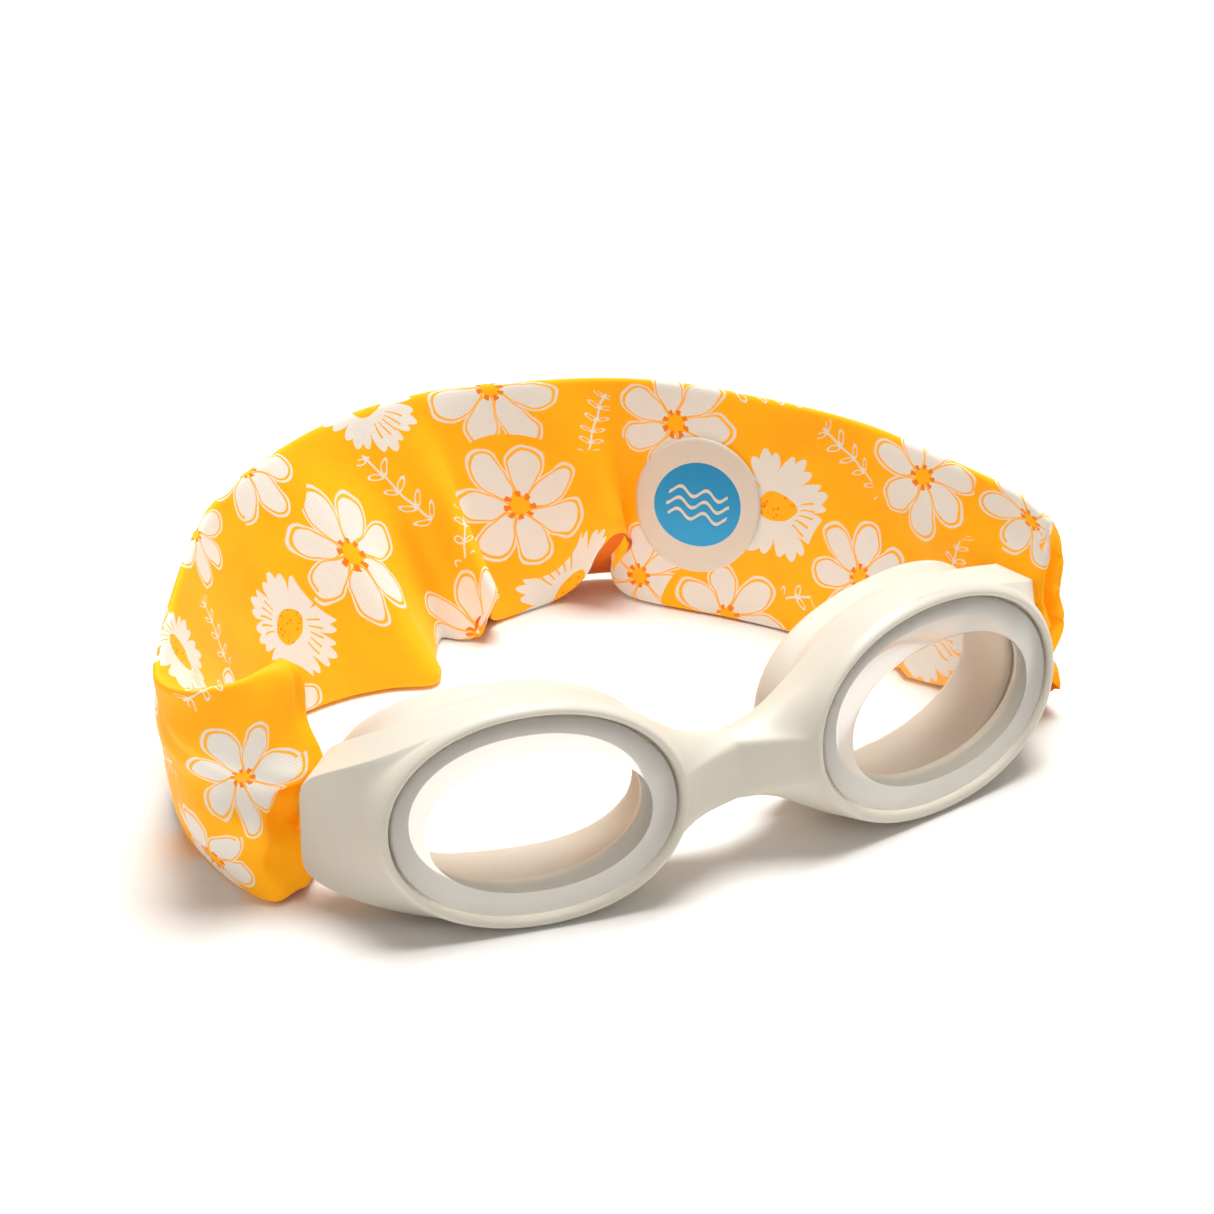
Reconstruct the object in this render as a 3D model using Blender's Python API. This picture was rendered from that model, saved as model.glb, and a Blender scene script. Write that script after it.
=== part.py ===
"""Swim goggles with a wide gathered fabric band.

Metres, +Z up. The goggles stand on the lower edges of frame, seals and band.
The lenses face -Y and the back of the head is towards +Y, so the wearer's left is +X.
Every length below is in millimetres and is scaled when a mesh is made.
"""
import math

import bmesh
import bpy
import numpy as np
from mathutils import Vector

MM = 0.001
GAP = 0.3                       # clearance between pieces that touch

# The goggles' centre plane and lens plane, seen from the middle of the whole object.
PLANE_X, PLANE_Y = 10.66, -47.80

# Lenses: clear dishes, 72 mm from centre to centre.
LENS_SPACING = 72.0
LENS_CENTRE_Z = 18.8
LENS_HALF = (21.4, 14.7)        # flat front face
LENS_BEVEL = (1.7, 1.5)         # how far the bevel spreads, and its depth
LENS_DEPTH = 6.0
LENS_WALL = 1.8
LENS_WRAP = math.radians(10.6)  # the outer side is set back
LENS_LEAN = math.radians(8.9)   # the top is set back

# Frame: cups, nose bridge and temple wings in one moulding.
CUP_HALF = (27.6, 19.4)
CUP_DEPTH = 13.0
BRIDGE_HEIGHT = 12.4
BRIDGE_THICK = 5.6
BRIDGE_CENTRE = (6.4, 16.8)     # y, z
BRIDGE_REACH = 12.4
WING_END = (61.7, 25.0)         # x, y of the temple end
WING_END_HEIGHT = 18.0
WING_END_Z = 14.0

# Face seals: soft skirts behind the cups.
SEAL_ROOT_HALF = (23.4, 18.4)
SEAL_ROOT_INSET = 1.5
SEAL_RIM_CENTRE = (33.0, 22.5, 17.3)
SEAL_RIM_HALF = (24.0, 17.6)
SEAL_RIM_WRAP = math.radians(16.0)
SEAL_RIM_LEAN = math.radians(5.0)

# Strap clips: clear loops at the temple ends, each with an upright round bar.
CLIP_Z = (4.4, 21.0)
CLIP_THICK = 2.2
CLIP_RAIL = 1.6
BAR_CENTRE = (61.7, 30.6)
BAR_RADIUS = 1.0

# Strap tabs: ribbed strips laced round the bars; both leave at the same slant.
TAB_SLANT = math.radians(27.0)
TAB_THICK = 1.0
TAB_HALF_HEIGHT = 4.0
TAB_Z = 12.7
TAB_INNER_RUN = 12.0
LEG_SPAN = (5.0, 9.0)
TAIL_SPAN = (13.0, 19.0)

# Band: a wide fabric tube, gathered at both ends.
BAND_HEIGHT = 41.0
BAND_THICK = 6.0
GATHER_START = LEG_SPAN[1] + TAB_HALF_HEIGHT + GAP
# x, y of the middle of the band from the wearer's right round to the left, and the
# distance that its top leans out past its bottom.
BAND_ROUTE = (
    (-79.5, 47.0, 9.0), (-78.0, 56.0, 4.0), (-72.0, 66.5, 1.0), (-63.0, 76.5, 1.0),
    (-50.0, 85.0, 4.0), (-35.0, 90.5, 8.0), (-18.0, 93.0, 11.0), (-2.0, 92.3, 11.0),
    (10.0, 90.0, 9.0), (21.0, 85.5, 8.0), (31.5, 78.0, 9.0), (41.0, 68.0, 9.0),
    (49.0, 57.5, 8.0), (55.5, 49.0, 7.0),
)
LABEL_AT = 0.788                # fraction of the route
LABEL_RADIUS = 12.0
LABEL_THICK = 0.6

RIGHT, LEFT = -1, 1             # the wearer's sides along X
SIDE_NAMES = {RIGHT: "right", LEFT: "left"}


def clear_scene():
    for obj in list(bpy.data.objects):
        bpy.data.objects.remove(obj, do_unlink=True)


def make_collection(name):
    collection = bpy.data.collections.new(name)
    bpy.context.scene.collection.children.link(collection)
    return collection


def make_material(name, colour, roughness, alpha=1.0):
    material = bpy.data.materials.new(name)
    material.use_nodes = True
    shader = material.node_tree.nodes["Principled BSDF"]
    shader.inputs["Base Color"].default_value = (*colour, 1.0)
    shader.inputs["Roughness"].default_value = roughness
    shader.inputs["Metallic"].default_value = 0.0
    shader.inputs["Alpha"].default_value = alpha
    material.diffuse_color = (*colour, alpha)
    return material


def link_mesh(name, mesh_builder, material, collection, pivot=(0.0, 0.0, 0.0)):
    """Turn a bmesh in millimetres into an object whose origin is at pivot."""
    bmesh.ops.recalc_face_normals(mesh_builder, faces=mesh_builder.faces)
    bmesh.ops.translate(mesh_builder, verts=mesh_builder.verts, vec=-Vector(pivot))
    bmesh.ops.scale(mesh_builder, verts=mesh_builder.verts, vec=(MM, MM, MM))
    mesh = bpy.data.meshes.new(name)
    mesh_builder.to_mesh(mesh)
    mesh_builder.free()
    mesh.materials.append(material)
    mesh.shade_smooth()
    mesh.set_sharp_from_angle(angle=math.radians(35))
    obj = bpy.data.objects.new(name, mesh)
    obj.location = Vector(pivot) * MM
    collection.objects.link(obj)
    return obj


def loft(sections, cap_ends):
    """Join rings of equal count; without caps the last ring joins the first."""
    builder = bmesh.new()
    rings = [[builder.verts.new(point) for point in ring] for ring in sections]
    count = len(rings[0])
    pairs = list(zip(rings, rings[1:]))
    if not cap_ends:
        pairs.append((rings[-1], rings[0]))
    for ring_a, ring_b in pairs:
        for k in range(count):
            n = (k + 1) % count
            builder.faces.new((ring_a[k], ring_a[n], ring_b[n], ring_b[k]))
    if cap_ends:
        builder.faces.new(rings[0])
        builder.faces.new(list(reversed(rings[-1])))
    return builder


def superellipse(half_width, half_height, power, count):
    """Points round |x/a|^n + |y/b|^n = 1."""
    angles = np.linspace(0.0, 2.0 * math.pi, count, endpoint=False)
    cosine, sine = np.cos(angles), np.sin(angles)
    across = half_width * np.sign(cosine) * np.abs(cosine) ** (2.0 / power)
    upward = half_height * np.sign(sine) * np.abs(sine) ** (2.0 / power)
    return across, upward


def eye_ring(side, centre, half, depth, wrap, lean, power=2.1, count=48):
    """A ring round one eye, set back by depth, turned by wrap and leaned back."""
    across, upward = superellipse(half[0], half[1], power, count)
    x = side * (centre[0] + across * math.cos(wrap))
    y = centre[1] + depth + across * math.sin(wrap) + upward * math.sin(lean)
    z = np.maximum(centre[2] + upward * math.cos(lean), 0.0)
    return list(zip(x, y, z))


def lens_ring(side, half, depth, drop=0.0, inset=0.0):
    centre = (LENS_SPACING / 2 - inset, 0.0, LENS_CENTRE_Z - drop)
    return eye_ring(side, centre, half, depth, LENS_WRAP, LENS_LEAN)


def grown(half, by):
    return (half[0] + by, half[1] + by)


def make_lens(side, material, collection):
    """A flat front with a bevelled rim and a short wall behind it."""
    spread, bevel_depth = LENS_BEVEL
    outer = grown(LENS_HALF, spread)
    inner = grown(outer, -LENS_WALL)
    sections = [
        lens_ring(side, LENS_HALF, 0.0),
        lens_ring(side, outer, bevel_depth),
        lens_ring(side, outer, LENS_DEPTH),
        lens_ring(side, inner, LENS_DEPTH),
        lens_ring(side, inner, bevel_depth + LENS_WALL),
        lens_ring(side, grown(inner, -1.5), bevel_depth + 0.6),
    ]
    builder = loft(sections, cap_ends=True)
    return link_mesh(f"{SIDE_NAMES[side]}_lens", builder, material, collection)


def make_cup(side, material, collection):
    """One eye cup of the frame: a ring with a seat for the lens."""
    seat = grown(LENS_HALF, LENS_BEVEL[0] + GAP)
    ledge = grown(seat, -LENS_WALL)
    sections = [
        lens_ring(side, seat, LENS_BEVEL[1] + 0.1),
        lens_ring(side, grown(seat, 2.4), LENS_BEVEL[1] + 0.9),
        lens_ring(side, grown(CUP_HALF, -0.6), 4.4),
        lens_ring(side, CUP_HALF, 7.5),
        lens_ring(side, grown(CUP_HALF, -0.8), CUP_DEPTH, drop=0.6),
        lens_ring(side, grown(CUP_HALF, -3.6), CUP_DEPTH, drop=0.6),
        lens_ring(side, grown(ledge, 0.8), 9.0),
        lens_ring(side, ledge, LENS_DEPTH + GAP + 1.2),
        lens_ring(side, ledge, LENS_DEPTH + GAP),
        lens_ring(side, seat, LENS_DEPTH + GAP),
    ]
    builder = loft(sections, cap_ends=False)
    return link_mesh(f"{SIDE_NAMES[side]}_cup", builder, material, collection)


def rounded_section(centre, size, normal_yaw, count=20, power=4.0):
    """An upright rounded rectangle whose width runs square to the yaw direction."""
    across, upward = superellipse(size[0] / 2, size[1] / 2, power, count)
    x = centre[0] + across * math.cos(normal_yaw)
    y = centre[1] + across * math.sin(normal_yaw)
    return list(zip(x, y, centre[2] + upward))


def make_bridge(material, collection):
    """The nose bridge, narrowest at the middle and spreading into both cups."""
    y, z = BRIDGE_CENTRE
    sections = []
    for x in np.linspace(-BRIDGE_REACH, BRIDGE_REACH, 9):
        spread = (abs(x) / BRIDGE_REACH) ** 2
        size = (BRIDGE_THICK, BRIDGE_HEIGHT + 8.0 * spread)
        centre = (x, y - 2.0 * math.sqrt(spread), z + 1.5 * spread)
        sections.append(rounded_section(centre, size, math.pi / 2))
    return link_mesh("bridge", loft(sections, cap_ends=True), material, collection)


def make_wing(side, material, collection):
    """A temple wing: the cup's outer side drawn back and down to the clip."""
    end_x, end_y = WING_END
    stations = (
        # x, y, z, thickness, height, yaw of the thickness
        (61.0, 9.6, 18.8, 3.0, 19.0, 0.0),
        (61.3, 13.0, 18.4, 3.6, 25.0, 0.0),
        (61.7, 17.0, 17.0, 4.6, 24.5, 0.0),
        (61.8, 21.0, 15.4, 5.0, 21.0, 0.0),
        (end_x, end_y, WING_END_Z, 5.0, WING_END_HEIGHT, 0.0),
    )
    sections = []
    for x, y, z, thick, height, yaw in stations:
        ring = rounded_section((x, y, z), (thick, height), -yaw)
        sections.append([(side * px, py, pz) for px, py, pz in ring])
    builder = loft(sections, cap_ends=True)
    return link_mesh(f"{SIDE_NAMES[side]}_wing", builder, material, collection)


def join_with(target, piece):
    """Keep piece as a hidden guide and unite it with target."""
    piece.hide_render = True
    piece.display_type = "WIRE"
    modifier = target.modifiers.new(f"join_{piece.name}", "BOOLEAN")
    modifier.operation = "UNION"
    modifier.solver = "EXACT"
    modifier.object = piece


def make_frame(material, collection, guides):
    frame = make_cup(LEFT, material, collection)
    frame.name = "goggle_frame"
    for piece in (
        make_cup(RIGHT, material, guides),
        make_bridge(material, guides),
        make_wing(LEFT, material, guides),
        make_wing(RIGHT, material, guides),
    ):
        join_with(frame, piece)
    return frame


def make_seal(side, material, collection):
    """A thin skirt that spreads from the cup's back edge to the face."""

    def root(by):
        return lens_ring(side, grown(SEAL_ROOT_HALF, by), CUP_DEPTH + GAP, drop=0.7,
                         inset=SEAL_ROOT_INSET)

    def rim(by, back):
        return eye_ring(side, SEAL_RIM_CENTRE, grown(SEAL_RIM_HALF, by), back,
                        SEAL_RIM_WRAP, SEAL_RIM_LEAN, power=2.4)

    sections = [root(0.0), rim(-0.4, -4.0), rim(0.0, -0.8), rim(-0.8, 0.0),
                rim(-3.4, -0.6), rim(-3.6, -4.4), root(-2.6)]
    builder = loft(sections, cap_ends=False)
    return link_mesh(f"{SIDE_NAMES[side]}_face_seal", builder, material, collection)


def add_box(builder, low, high):
    size = Vector(high) - Vector(low)
    made = bmesh.ops.create_cube(builder, size=1.0)
    bmesh.ops.scale(builder, verts=made["verts"], vec=size)
    bmesh.ops.translate(builder, verts=made["verts"], vec=(Vector(low) + Vector(high)) / 2)


def solid_box(name, low, high, material, collection):
    builder = bmesh.new()
    add_box(builder, low, high)
    return link_mesh(name, builder, material, collection)


def make_clip(side, material, collection, guides):
    """A flat clear loop with an upright round bar at its back."""
    name = f"{SIDE_NAMES[side]}_clip"
    bar_x, bar_y = BAR_CENTRE
    front = WING_END[1] + GAP
    low_x, high_x = sorted((side * (bar_x - CLIP_THICK / 2), side * (bar_x + CLIP_THICK / 2)))
    clip = solid_box(name, (low_x, front, CLIP_Z[0]), (high_x, bar_y, CLIP_Z[1]),
                     material, collection)
    window = solid_box(f"{name}_window", (low_x - 1, front + CLIP_RAIL, CLIP_Z[0] + CLIP_RAIL),
                       (high_x + 1, bar_y + 2, CLIP_Z[1] - CLIP_RAIL), material, guides)
    window.hide_render = True
    window.display_type = "WIRE"
    cut = clip.modifiers.new("cut_window", "BOOLEAN")
    cut.operation = "DIFFERENCE"
    cut.solver = "EXACT"
    cut.object = window
    builder = bmesh.new()
    bmesh.ops.create_cone(builder, cap_ends=True, segments=20, radius1=BAR_RADIUS,
                          radius2=BAR_RADIUS, depth=CLIP_Z[1] - CLIP_Z[0])
    bmesh.ops.translate(builder, verts=builder.verts,
                        vec=(side * bar_x, bar_y, sum(CLIP_Z) / 2))
    join_with(clip, link_mesh(f"{name}_bar", builder, material, guides))
    return clip


def tab_point(side, back, out):
    """Back runs along the slanted strip, out runs away from the wearer's head."""
    along = (-math.sin(TAB_SLANT), math.cos(TAB_SLANT))
    square = (side * math.cos(TAB_SLANT), side * math.sin(TAB_SLANT))
    return (side * BAR_CENTRE[0] + along[0] * back + square[0] * out,
            BAR_CENTRE[1] + along[1] * back + square[1] * out)


def upright_strip(outline, half_height):
    """Extrude a plan outline between two heights about the tab's middle."""
    low = [(x, y, TAB_Z - half_height) for x, y in outline]
    high = [(x, y, TAB_Z + half_height) for x, y in outline]
    return loft([low, high], cap_ends=True)


def make_tab_loop(side, material, collection):
    """The strip where it turns round the bar, with a short outer and a long inner run."""
    near, far = BAR_RADIUS + GAP, BAR_RADIUS + GAP + TAB_THICK
    turn = np.linspace(math.pi / 2, -math.pi / 2, 15)
    outer = [(-far * math.cos(t), far * math.sin(t)) for t in turn]
    inner = [(-near * math.cos(t), near * math.sin(t)) for t in reversed(turn)]
    plan = ([(LEG_SPAN[0] - GAP, far)] + outer + [(TAB_INNER_RUN, -far)]
            + [(TAB_INNER_RUN, -near)] + inner + [(LEG_SPAN[0] - GAP, near)])
    outline = [tab_point(side, back, out) for back, out in plan]
    builder = upright_strip(outline, TAB_HALF_HEIGHT)
    return link_mesh(f"{SIDE_NAMES[side]}_tab_loop", builder, material, collection)


def strip_plate(side, profile, out_low, out_high):
    """A flat plate: profile is in (back, z) and its thickness runs outwards."""
    sections = []
    for out in (out_low, out_high):
        ring = []
        for back, z in profile:
            x, y = tab_point(side, back, out)
            ring.append((x, y, z))
        sections.append(ring)
    return loft(sections, cap_ends=True)


def make_strap_leg(side, material, collection):
    """The strip from the loop to the fabric, with a round end on the tilt axis."""
    start, end = LEG_SPAN
    near = BAR_RADIUS + GAP
    arc = [(end + TAB_HALF_HEIGHT * math.cos(t), TAB_Z + TAB_HALF_HEIGHT * math.sin(t))
           for t in np.linspace(-math.pi / 2, math.pi / 2, 13)]
    profile = [(start, TAB_Z - TAB_HALF_HEIGHT)] + arc + [(start, TAB_Z + TAB_HALF_HEIGHT)]
    builder = strip_plate(side, profile, near, near + TAB_THICK)
    return link_mesh(f"{SIDE_NAMES[side]}_strap_leg", builder, material, collection,
                     pivot=(*tab_point(side, end, near), TAB_Z))


def make_tab_tail(side, material, collection):
    """The strip's free end, flat against the inner run."""
    start, end = TAIL_SPAN
    out = -(BAR_RADIUS + 2 * GAP + TAB_THICK)
    corner = 1.6
    profile = [(start, TAB_Z - TAB_HALF_HEIGHT), (end - corner, TAB_Z - TAB_HALF_HEIGHT),
               (end, TAB_Z - TAB_HALF_HEIGHT + corner), (end, TAB_Z + TAB_HALF_HEIGHT - corner),
               (end - corner, TAB_Z + TAB_HALF_HEIGHT), (start, TAB_Z + TAB_HALF_HEIGHT)]
    builder = strip_plate(side, profile, out - TAB_THICK, out)
    return link_mesh(f"{SIDE_NAMES[side]}_tab_tail", builder, material, collection,
                     pivot=(*tab_point(side, start, out), TAB_Z))


def make_bar_tack(side, material, collection):
    """The thread bar that holds the strip's end in the fabric."""
    near = BAR_RADIUS + 2 * GAP + TAB_THICK
    back = LEG_SPAN[1]
    profile = [(back, TAB_Z - 3.0), (back + 1.6, TAB_Z - 3.0),
               (back + 1.6, TAB_Z + 3.0), (back, TAB_Z + 3.0)]
    builder = strip_plate(side, profile, near, near + 0.6)
    return link_mesh(f"{SIDE_NAMES[side]}_bar_tack", builder, material, collection,
                     pivot=(*tab_point(side, back, near), TAB_Z))


def smooth_route(steps):
    """A Catmull-Rom curve through BAND_ROUTE, as rows of x, y, lean."""
    knots = np.array(BAND_ROUTE)
    padded = np.vstack([2 * knots[0] - knots[1], knots, 2 * knots[-1] - knots[-2]])
    where = np.linspace(0.0, len(knots) - 1.0, steps)
    index = np.minimum(where.astype(int), len(knots) - 2)
    t = (where - index)[:, None]
    a, b, c, d = (padded[index + k] for k in range(4))
    return 0.5 * (2 * b + (c - a) * t + (2 * a - 5 * b + 4 * c - d) * t ** 2
                  + (3 * b - a - 3 * c + d) * t ** 3)


def band_section(row, heading, height=BAND_HEIGHT, thick=BAND_THICK, base=0.0):
    """A flattened tube standing on a flat lower edge and leaning outwards."""
    outward = np.array([-heading[1], heading[0]])
    half = thick / 2
    profile = ((-0.62, 0.0), (0.62, 0.0), (1.0, 0.1), (1.0, 0.5), (0.9, 0.88),
               (0.5, 1.0), (-0.5, 1.0), (-0.9, 0.88), (-1.0, 0.5), (-1.0, 0.1))
    ring = []
    for across, up in profile:
        shift = across * half + (up - 0.5) * row[2]
        ring.append((row[0] + outward[0] * shift, row[1] + outward[1] * shift,
                     base + up * height))
    return ring


def route_headings(rows):
    steps = np.gradient(rows[:, :2], axis=0)
    return steps / np.linalg.norm(steps, axis=1)[:, None]


def tilt_axis():
    """A point on the axis through both strap legs' round ends."""
    return (0.0, tab_point(LEFT, LEG_SPAN[1], 0.0)[1], TAB_Z)


def make_band(material, collection):
    rows = smooth_route(44)
    headings = route_headings(rows)
    sections = [band_section(row, heading) for row, heading in zip(rows, headings)]
    return link_mesh("fabric_band", loft(sections, cap_ends=True), material, collection,
                     pivot=tilt_axis())


def make_gather(side, material, collection):
    """The band's end, drawn together from full height to the strip's width."""
    rows = smooth_route(44)
    headings = route_headings(rows)
    row, heading = (rows[0], headings[0]) if side == RIGHT else (rows[-1], headings[-1])
    away = -heading if side == RIGHT else heading
    wide = np.array([*(row[:2] + away * GAP), row[2]])
    narrow_at = tab_point(side, GATHER_START, 3.2)
    narrow = np.array([*narrow_at, 0.0])
    strip_heading = np.array([side * math.sin(TAB_SLANT), -side * math.cos(TAB_SLANT)])
    low_narrow, tall_narrow = TAB_Z - 4.6, 9.2
    sections = []
    for share in (0.0, 0.2, 0.4, 0.6, 0.8, 1.0):
        eased = share ** 0.8
        middle = wide + (narrow - wide) * share
        height = BAND_HEIGHT + (tall_narrow - BAND_HEIGHT) * eased
        thick = BAND_THICK + 1.0 * math.sin(math.pi * share)
        turned = heading + (strip_heading - heading) * share
        turned /= np.linalg.norm(turned)
        sections.append(band_section(middle, turned, height, thick, low_narrow * eased))
    return link_mesh(f"{SIDE_NAMES[side]}_gather", loft(sections, cap_ends=True), material,
                     collection, pivot=tilt_axis())


def make_label(material, collection):
    """A round patch on the inside of the band, facing the wearer's head."""
    rows = smooth_route(401)
    headings = route_headings(rows)
    index = round(LABEL_AT * (len(rows) - 1))
    row, heading = rows[index], headings[index]
    outward = Vector((-heading[1], heading[0], 0.0))
    lean = math.atan2(row[2], BAND_HEIGHT)
    upright = Vector((outward.x * math.sin(lean), outward.y * math.sin(lean), math.cos(lean)))
    facing = Vector((heading[0], heading[1], 0.0)).cross(upright)
    centre = Vector((row[0], row[1], BAND_HEIGHT / 2 + 1.0)) + facing * (BAND_THICK / 2 + 1.7)
    turn = facing.to_track_quat("Z", "Y").to_matrix()
    builder = bmesh.new()
    bmesh.ops.create_cone(builder, cap_ends=True, segments=36, radius1=LABEL_RADIUS,
                          radius2=LABEL_RADIUS, depth=LABEL_THICK)
    bmesh.ops.rotate(builder, verts=builder.verts, matrix=turn)
    bmesh.ops.translate(builder, verts=builder.verts, vec=centre)
    return link_mesh("round_label", builder, material, collection, pivot=tilt_axis())


def build():
    clear_scene()
    parts = make_collection("swim_goggles")
    guides = make_collection("guides")
    ivory = make_material("ivory_silicone", (0.86, 0.85, 0.79), 0.45)
    seal_white = make_material("seal_silicone", (0.88, 0.87, 0.82), 0.5)
    clear = make_material("clear_plastic", (0.95, 0.96, 0.95), 0.08, alpha=0.35)
    clear_rubber = make_material("clear_rubber", (0.93, 0.9, 0.85), 0.3, alpha=0.6)
    yellow = make_material("printed_fabric", (1.0, 0.5, 0.02), 0.8)
    thread = make_material("thread", (0.95, 0.62, 0.12), 0.7)
    patch = make_material("label_patch", (0.85, 0.84, 0.8), 0.6)

    make_frame(ivory, parts, guides)
    for side in (RIGHT, LEFT):
        make_lens(side, clear, parts)
        make_seal(side, seal_white, parts)
        make_clip(side, clear, parts, guides)
        make_tab_loop(side, clear_rubber, parts)
        make_strap_leg(side, clear_rubber, parts)
        make_tab_tail(side, clear_rubber, parts)
        make_bar_tack(side, thread, parts)
        make_gather(side, yellow, parts)
    make_band(yellow, parts)
    make_label(patch, parts)

    whole = bpy.data.objects.new("goggles_plane", None)
    parts.objects.link(whole)
    for obj in [*parts.objects, *guides.objects]:
        if obj is not whole:
            obj.parent = whole
    whole.location = (PLANE_X * MM, PLANE_Y * MM, 0.0)


build()
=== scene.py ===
import math
import bmesh
import bpy
import numpy as np
from mathutils import Matrix, Vector


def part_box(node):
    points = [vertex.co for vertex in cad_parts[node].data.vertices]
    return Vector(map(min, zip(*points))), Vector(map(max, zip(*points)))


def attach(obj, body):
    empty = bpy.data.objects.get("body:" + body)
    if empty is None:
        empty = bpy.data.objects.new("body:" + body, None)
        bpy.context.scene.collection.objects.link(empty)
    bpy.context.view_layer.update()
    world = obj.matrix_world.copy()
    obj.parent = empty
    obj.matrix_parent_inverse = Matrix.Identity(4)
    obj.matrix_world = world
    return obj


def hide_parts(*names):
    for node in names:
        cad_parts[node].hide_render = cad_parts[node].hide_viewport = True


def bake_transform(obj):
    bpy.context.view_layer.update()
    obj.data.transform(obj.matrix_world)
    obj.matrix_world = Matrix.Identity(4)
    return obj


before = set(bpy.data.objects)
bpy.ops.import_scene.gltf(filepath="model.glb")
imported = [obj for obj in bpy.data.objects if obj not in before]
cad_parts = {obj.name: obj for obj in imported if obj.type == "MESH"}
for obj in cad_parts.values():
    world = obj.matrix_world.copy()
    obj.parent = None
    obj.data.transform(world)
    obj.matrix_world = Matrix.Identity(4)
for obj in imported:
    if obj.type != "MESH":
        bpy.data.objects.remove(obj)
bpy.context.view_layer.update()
print("frame loaded")

# Everything below is in millimetres from the goggles' middle: x to the wearer's left,
# y from the lenses towards the back of the head, z up from the floor.
mm = 0.001
clipFront = 25.3                       # the clips start this far behind the lens plane
frameLow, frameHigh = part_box("goggle_frame")
originX = (frameLow.x + frameHigh.x) / 2
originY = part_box("left_clip")[0].y - clipFront * mm
sides = {"right": -1, "left": 1}


def toWorld(points):
    # millimetres about the goggles' middle -> metres in the frame
    return np.asarray(points, float) * mm + np.array([originX, originY, 0.0])


def worldPoint(x, y, z):
    return tuple(float(c) for c in toWorld([x, y, z]))


def curveThrough(knots, samples):
    # Catmull-Rom: each stretch is a cubic whose slope at a knot is half the step between its neighbours
    knots = np.asarray(knots, float)
    ends = np.vstack([2 * knots[0] - knots[1], knots, 2 * knots[-1] - knots[-2]])
    place = np.linspace(0.0, len(knots) - 1.0, samples)
    first = np.minimum(place.astype(int), len(knots) - 2)
    t = (place - first)[:, None]
    a, b, c, d = (ends[first + k] for k in range(4))
    square = (2 * a - 5 * b + 4 * c - d) * t ** 2
    cube = (3 * b - a - 3 * c + d) * t ** 3
    return 0.5 * (2 * b + (c - a) * t + square + cube)


def roundedLoop(keys, steps):
    # closed cubic B-spline along the first axis: every key pulls the line to it and no corner stays sharp
    t = (np.arange(steps) / steps)[None, :, None, None]
    before, here, after, later = (np.roll(keys, k, axis=0)[:, None] for k in (1, 0, -1, -2))
    parts = ((1 - t) ** 3 * before + (3 * t ** 3 - 6 * t ** 2 + 4) * here
             + (-3 * t ** 3 + 3 * t ** 2 + 3 * t + 1) * after + t ** 3 * later) / 6
    return parts.reshape(-1, *keys.shape[1:])


def smoothAlong(values, width, axis=0, loop=False):
    # a moving average with bell weights, held at the ends or running round a loop
    reach = max(1, int(3 * width))
    weights = np.exp(-0.5 * (np.arange(-reach, reach + 1) / width) ** 2)
    weights /= weights.sum()
    pad = [(0, 0)] * values.ndim
    pad[axis] = (reach, reach)
    wide = np.pad(values, pad, mode="wrap" if loop else "edge")
    count = values.shape[axis]
    return sum(w * np.take(wide, range(k, k + count), axis=axis) for k, w in enumerate(weights))


def ease(x):
    # 3x^2 - 2x^3: starts and ends level
    x = np.clip(x, 0.0, 1.0)
    return x * x * (3 - 2 * x)


def unit(v):
    return v / np.maximum(np.linalg.norm(v, axis=-1, keepdims=True), 1e-9)


def gridFaces(rows, columns, loopRows, loopColumns, offset=0):
    # one four-sided face between neighbouring rows and columns, closed round where a direction loops
    r = np.arange(rows if loopRows else rows - 1)
    c = np.arange(columns if loopColumns else columns - 1)
    r, c = (k.ravel() for k in np.meshgrid(r, c, indexing="ij"))
    rn, cn = (r + 1) % rows, (c + 1) % columns
    return np.stack([r * columns + c, r * columns + cn, rn * columns + cn, rn * columns + c], 1) + offset


def meshFrom(name, points, faces, uv=None):
    mesh = bpy.data.meshes.new(name)
    mesh.from_pydata(toWorld(points).tolist(), [], [list(map(int, f)) for f in faces])
    if uv is not None:
        corner = np.zeros(len(mesh.loops), np.int32)
        mesh.loops.foreach_get("vertex_index", corner)
        layer = mesh.uv_layers.new(name="cloth")
        layer.data.foreach_set("uv", np.asarray(uv, np.float32)[corner].ravel())
    mesh.shade_smooth()
    piece = bpy.data.objects.new(name, mesh)
    bpy.context.scene.collection.objects.link(piece)
    return piece


def turnOutwards(piece):
    shape = bmesh.new()
    shape.from_mesh(piece.data)
    bmesh.ops.remove_doubles(shape, verts=shape.verts, dist=1e-6)
    bmesh.ops.recalc_face_normals(shape, faces=shape.faces)
    shape.to_mesh(piece.data)
    shape.free()
    piece.data.shade_smooth()
    return piece


def surfaceNormals(grid):
    # cross product of the two directions of a (rows, columns, 3) grid that closes along its columns
    across = (np.roll(grid, -1, axis=1) - np.roll(grid, 1, axis=1)) / 2
    return unit(np.cross(np.gradient(grid, axis=0), across))


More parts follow.
